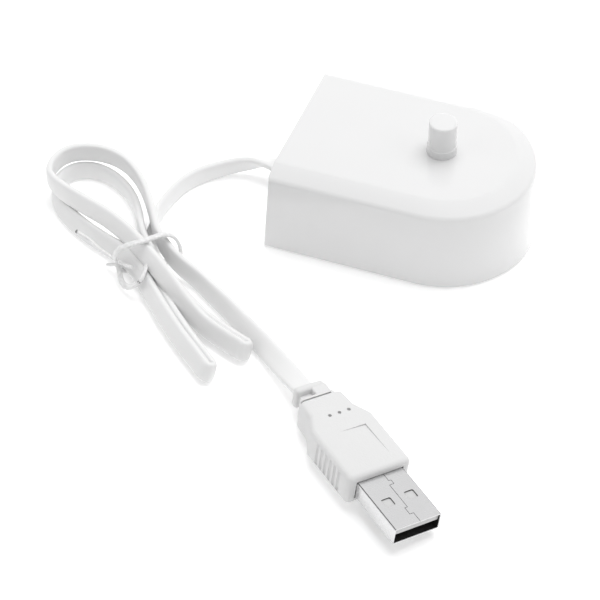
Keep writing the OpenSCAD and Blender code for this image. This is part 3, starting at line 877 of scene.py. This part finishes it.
def make_shell():
    """The folded sheet round the contacts: walls, rolled corners, latch windows and a seam."""
    p = settings("plug")
    w, h = p.shell_width / 2 / MM, p.shell_height / 2 / MM
    long_edge = 1 * MM
    shell = start_block("plug_sheet", (-SHELL_IN, -w, -h), (SHELL_TIP, w, h))
    with Shaping(shell) as shaping:
        shaping.pick("EDGE", lambda e: abs(e.verts[0].co.x - e.verts[1].co.x) > long_edge)
        bpy.ops.mesh.bevel(offset=SHELL_CORNER * MM, segments=4, affect="EDGES")
        shaping.pick("FACE", lambda f: abs(f.normal.x) > 0.9)
        bpy.ops.mesh.delete(type="FACE")
    modify(shell, "SOLIDIFY", thickness=p.sheet, offset=-1, use_even_offset=True)
    for y in SHELL_WINDOWS:
        window = start_block("window", (WINDOW_X[0], y - WINDOW_HALF, -5),
                             (WINDOW_X[1], y + WINDOW_HALF, 5))
        with Shaping(window) as shaping:
            shaping.pick("EDGE", lambda e: abs(e.verts[0].co.z - e.verts[1].co.z) > long_edge)
            bpy.ops.mesh.bevel(offset=WINDOW_ROUND * MM, segments=3, affect="EDGES")
        combine(shell, window, "DIFFERENCE")
    for bar in seam_cutters(h):
        combine(shell, bar, "DIFFERENCE")
    smooth(shell, 40)
    return shell


def seam_cutters(h):
    """Thin bars along the dovetailed seam of the shell's upper side."""
    for (x0, y0), (x1, y1) in zip(SEAM, SEAM[1:]):
        yield start_block(
            "bar", (min(x0, x1) - SEAM_HALF, min(y0, y1) - SEAM_HALF, h - SEAM_DEPTH),
            (max(x0, x1) + SEAM_HALF, max(y0, y1) + SEAM_HALF, h + 0.4))


def paint_shade_inside(shell):
    """Put the dark second material on the inner faces, the cut faces and a line on each corner:
    painted shade.
    """
    p = settings("plug")
    shell.data.materials.append(finish("shell painted shade"))
    w, h, r = p.shell_width / 2, p.shell_height / 2, SHELL_CORNER * MM
    skin = 0.05 * MM
    for face in shell.data.polygons:
        y, z = abs(face.center.y) - w + r, abs(face.center.z) - h + r
        depth = r - math.hypot(max(y, 0), max(z, 0)) - min(max(y, z), 0)
        on_rim = abs(face.normal.x) > 0.9 and face.center.x > (SHELL_TIP - 0.1) * MM
        on_corner = min(y, z) > 0 and 0.7 < abs(face.normal.z) < 0.9
        # these faces take the dark second material: painted shade in the cavity and along the corners
        if on_corner or depth > skin and not on_rim:
            face.material_index = 1


# === operators ===================================================================================
class LeadOperator(bpy.types.Operator):
    """Make the flat lead and the tie that holds its folds."""

    bl_idname = "charger.lead"
    bl_label = "Lead and tie"

    def execute(self, context):
        lead, centres = make_lead()
        hand_over(lead, "lead jacket", "lead_plastic", "lead_first", "lead_hank", "lead_last")
        tie = make_tie()
        hand_over(tie, "tie plastic", "tie_plastic", "twist_tie")
        context.scene["lead_path"] = [value for point in centres[::ROUTE_STEPS // 2]
                                      for value in point]
        return {"FINISHED"}


class HousingOperator(bpy.types.Operator):
    """Make the housing with its peg."""

    bl_idname = "charger.housing"
    bl_label = "Housing"

    def execute(self, context):
        hand_over(make_housing(), "housing plastic", "housing", "top_housing")
        return {"FINISHED"}


class PlugOperator(bpy.types.Operator):
    """Make the plug's moulding and its folded metal shell."""

    bl_idname = "charger.plug"
    bl_label = "Plug"

    def execute(self, context):
        where = plug_place()
        grip, shell = make_grip(), make_shell()
        hand_over(grip, "plug plastic", "plug_plastic", "plug_moulding")
        hand_over(shell, "nickel plate", "plug_metal", "plug_shell")
        paint_shade_inside(shell)
        place(grip, where)
        place(shell, where)
        return {"FINISHED"}


class NodesOperator(bpy.types.Operator):
    """Give each piece that keeps its CAD shape its finish."""

    bl_idname = "charger.nodes"
    bl_label = "Inner pieces"

    def execute(self, context):
        for node, material in PLAIN_NODES.items():
            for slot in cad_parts[node].material_slots:
                slot.material = finish(material)
        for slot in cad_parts["cord_gland"].material_slots:
            slot.material = finish("housing plastic")
        return {"FINISHED"}


class StageOperator(bpy.types.Operator):
    """Make the floor, the lights and the camera."""

    bl_idname = "charger.stage"
    bl_label = "Stage"

    def execute(self, context):
        s = settings("stage")
        back = Vector((math.sin(s.turn) * math.cos(s.rise), -math.cos(s.turn) * math.cos(s.rise),
                       math.sin(s.rise)))
        camera = bpy.data.cameras.new("camera")
        camera.lens = s.lens
        camera.sensor_width = 36
        camera.clip_start = 0.01
        view = bpy.data.objects.new("camera", camera)
        view.location = LOOK_AT + back * s.distance
        view.rotation_euler = back.to_track_quat("Z", "Y").to_euler()
        context.scene.collection.objects.link(view)
        context.scene.camera = view

        floor = start(bpy.ops.mesh.primitive_plane_add, "floor", size=6)
        f = Finish("floor paper")
        f.set(base_color=f.mix(f.noise(30, 2), (0.95, 0.95, 0.95), (0.96, 0.96, 0.96)),
              roughness=0.9, emission_color=(1, 1, 1, 1), emission_strength=0.25)
        dress(floor, f.material)

        for name, place_at, size, power in (
                ("key", (0.05, 0.22, 0.85), 0.7, s.key_power),
                ("fill", (-0.7, -0.5, 0.6), 0.8, s.key_power * 0.15),
                ("rim", (0.7, 0.1, 0.5), 0.6, s.key_power * 0.1)):
            light = bpy.data.lights.new(name, "AREA")
            light.shape = "SQUARE"
            light.size = size
            light.energy = power
            lamp = bpy.data.objects.new(name, light)
            lamp.location = place_at
            lamp.rotation_euler = (Vector(place_at) - LOOK_AT).to_track_quat("Z", "Y").to_euler()
            lamp.visible_glossy = False
            context.scene.collection.objects.link(lamp)

        world = bpy.data.worlds.new("studio")
        world.use_nodes = True
        world.node_tree.nodes["Background"].inputs["Color"].default_value = (1, 1, 1, 1)
        light_path = world.node_tree.nodes.new("ShaderNodeLightPath")
        strength = world.node_tree.nodes.new("ShaderNodeMapRange")
        strength.inputs["To Min"].default_value = s.sky
        strength.inputs["To Max"].default_value = s.gloss_sky
        world.node_tree.links.new(light_path.outputs["Is Glossy Ray"], strength.inputs["Value"])
        world.node_tree.links.new(strength.outputs["Result"],
                                  world.node_tree.nodes["Background"].inputs["Strength"])
        context.scene.world = world
        context.scene.view_settings.view_transform = "Standard"
        return {"FINISHED"}


class ChargerPanel(bpy.types.Panel):
    """The pieces of the charger, each with its button and its settings."""

    bl_idname = "VIEW3D_PT_charger"
    bl_label = "Charging Base"
    bl_space_type = "VIEW_3D"
    bl_region_type = "UI"
    bl_category = "Charger"

    def draw(self, context):
        for group, operator in SECTIONS:
            box = self.layout.box()
            box.operator(operator.bl_idname)
            if group:
                for name in GROUPS[group].__annotations__:
                    box.prop(settings(group), name)


GROUPS = {"housing": HousingSettings, "lead": LeadSettings, "plug": PlugSettings,
          "stage": StageSettings}
SECTIONS = [("stage", StageOperator), ("lead", LeadOperator), ("housing", HousingOperator),
            ("plug", PlugOperator), (None, NodesOperator)]
CLASSES = list(GROUPS.values()) + [operator for _, operator in SECTIONS] + [ChargerPanel]


def register():
    for one in CLASSES:
        bpy.utils.register_class(one)
    for name, group in GROUPS.items():
        setattr(bpy.types.Scene, "charger_" + name, PointerProperty(type=group))


def unregister():
    for name in GROUPS:
        delattr(bpy.types.Scene, "charger_" + name)
    for one in reversed(CLASSES):
        bpy.utils.unregister_class(one)


def declare_lead():
    """Read the lead's path and width back from the scene, once the pieces on it are there; nothing is
    made of them.
    """
    scene = bpy.context.scene
    values = list(scene["lead_path"])
    path = [tuple(values[i:i + 3]) for i in range(0, len(values), 3)]
    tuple(path[0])
    settings("lead").width


def main():
    register()
    for _, operator in SECTIONS:
        group, name = operator.bl_idname.split(".")
        getattr(getattr(bpy.ops, group), name)()
    declare_lead()


if __name__ == "__main__":
    main()
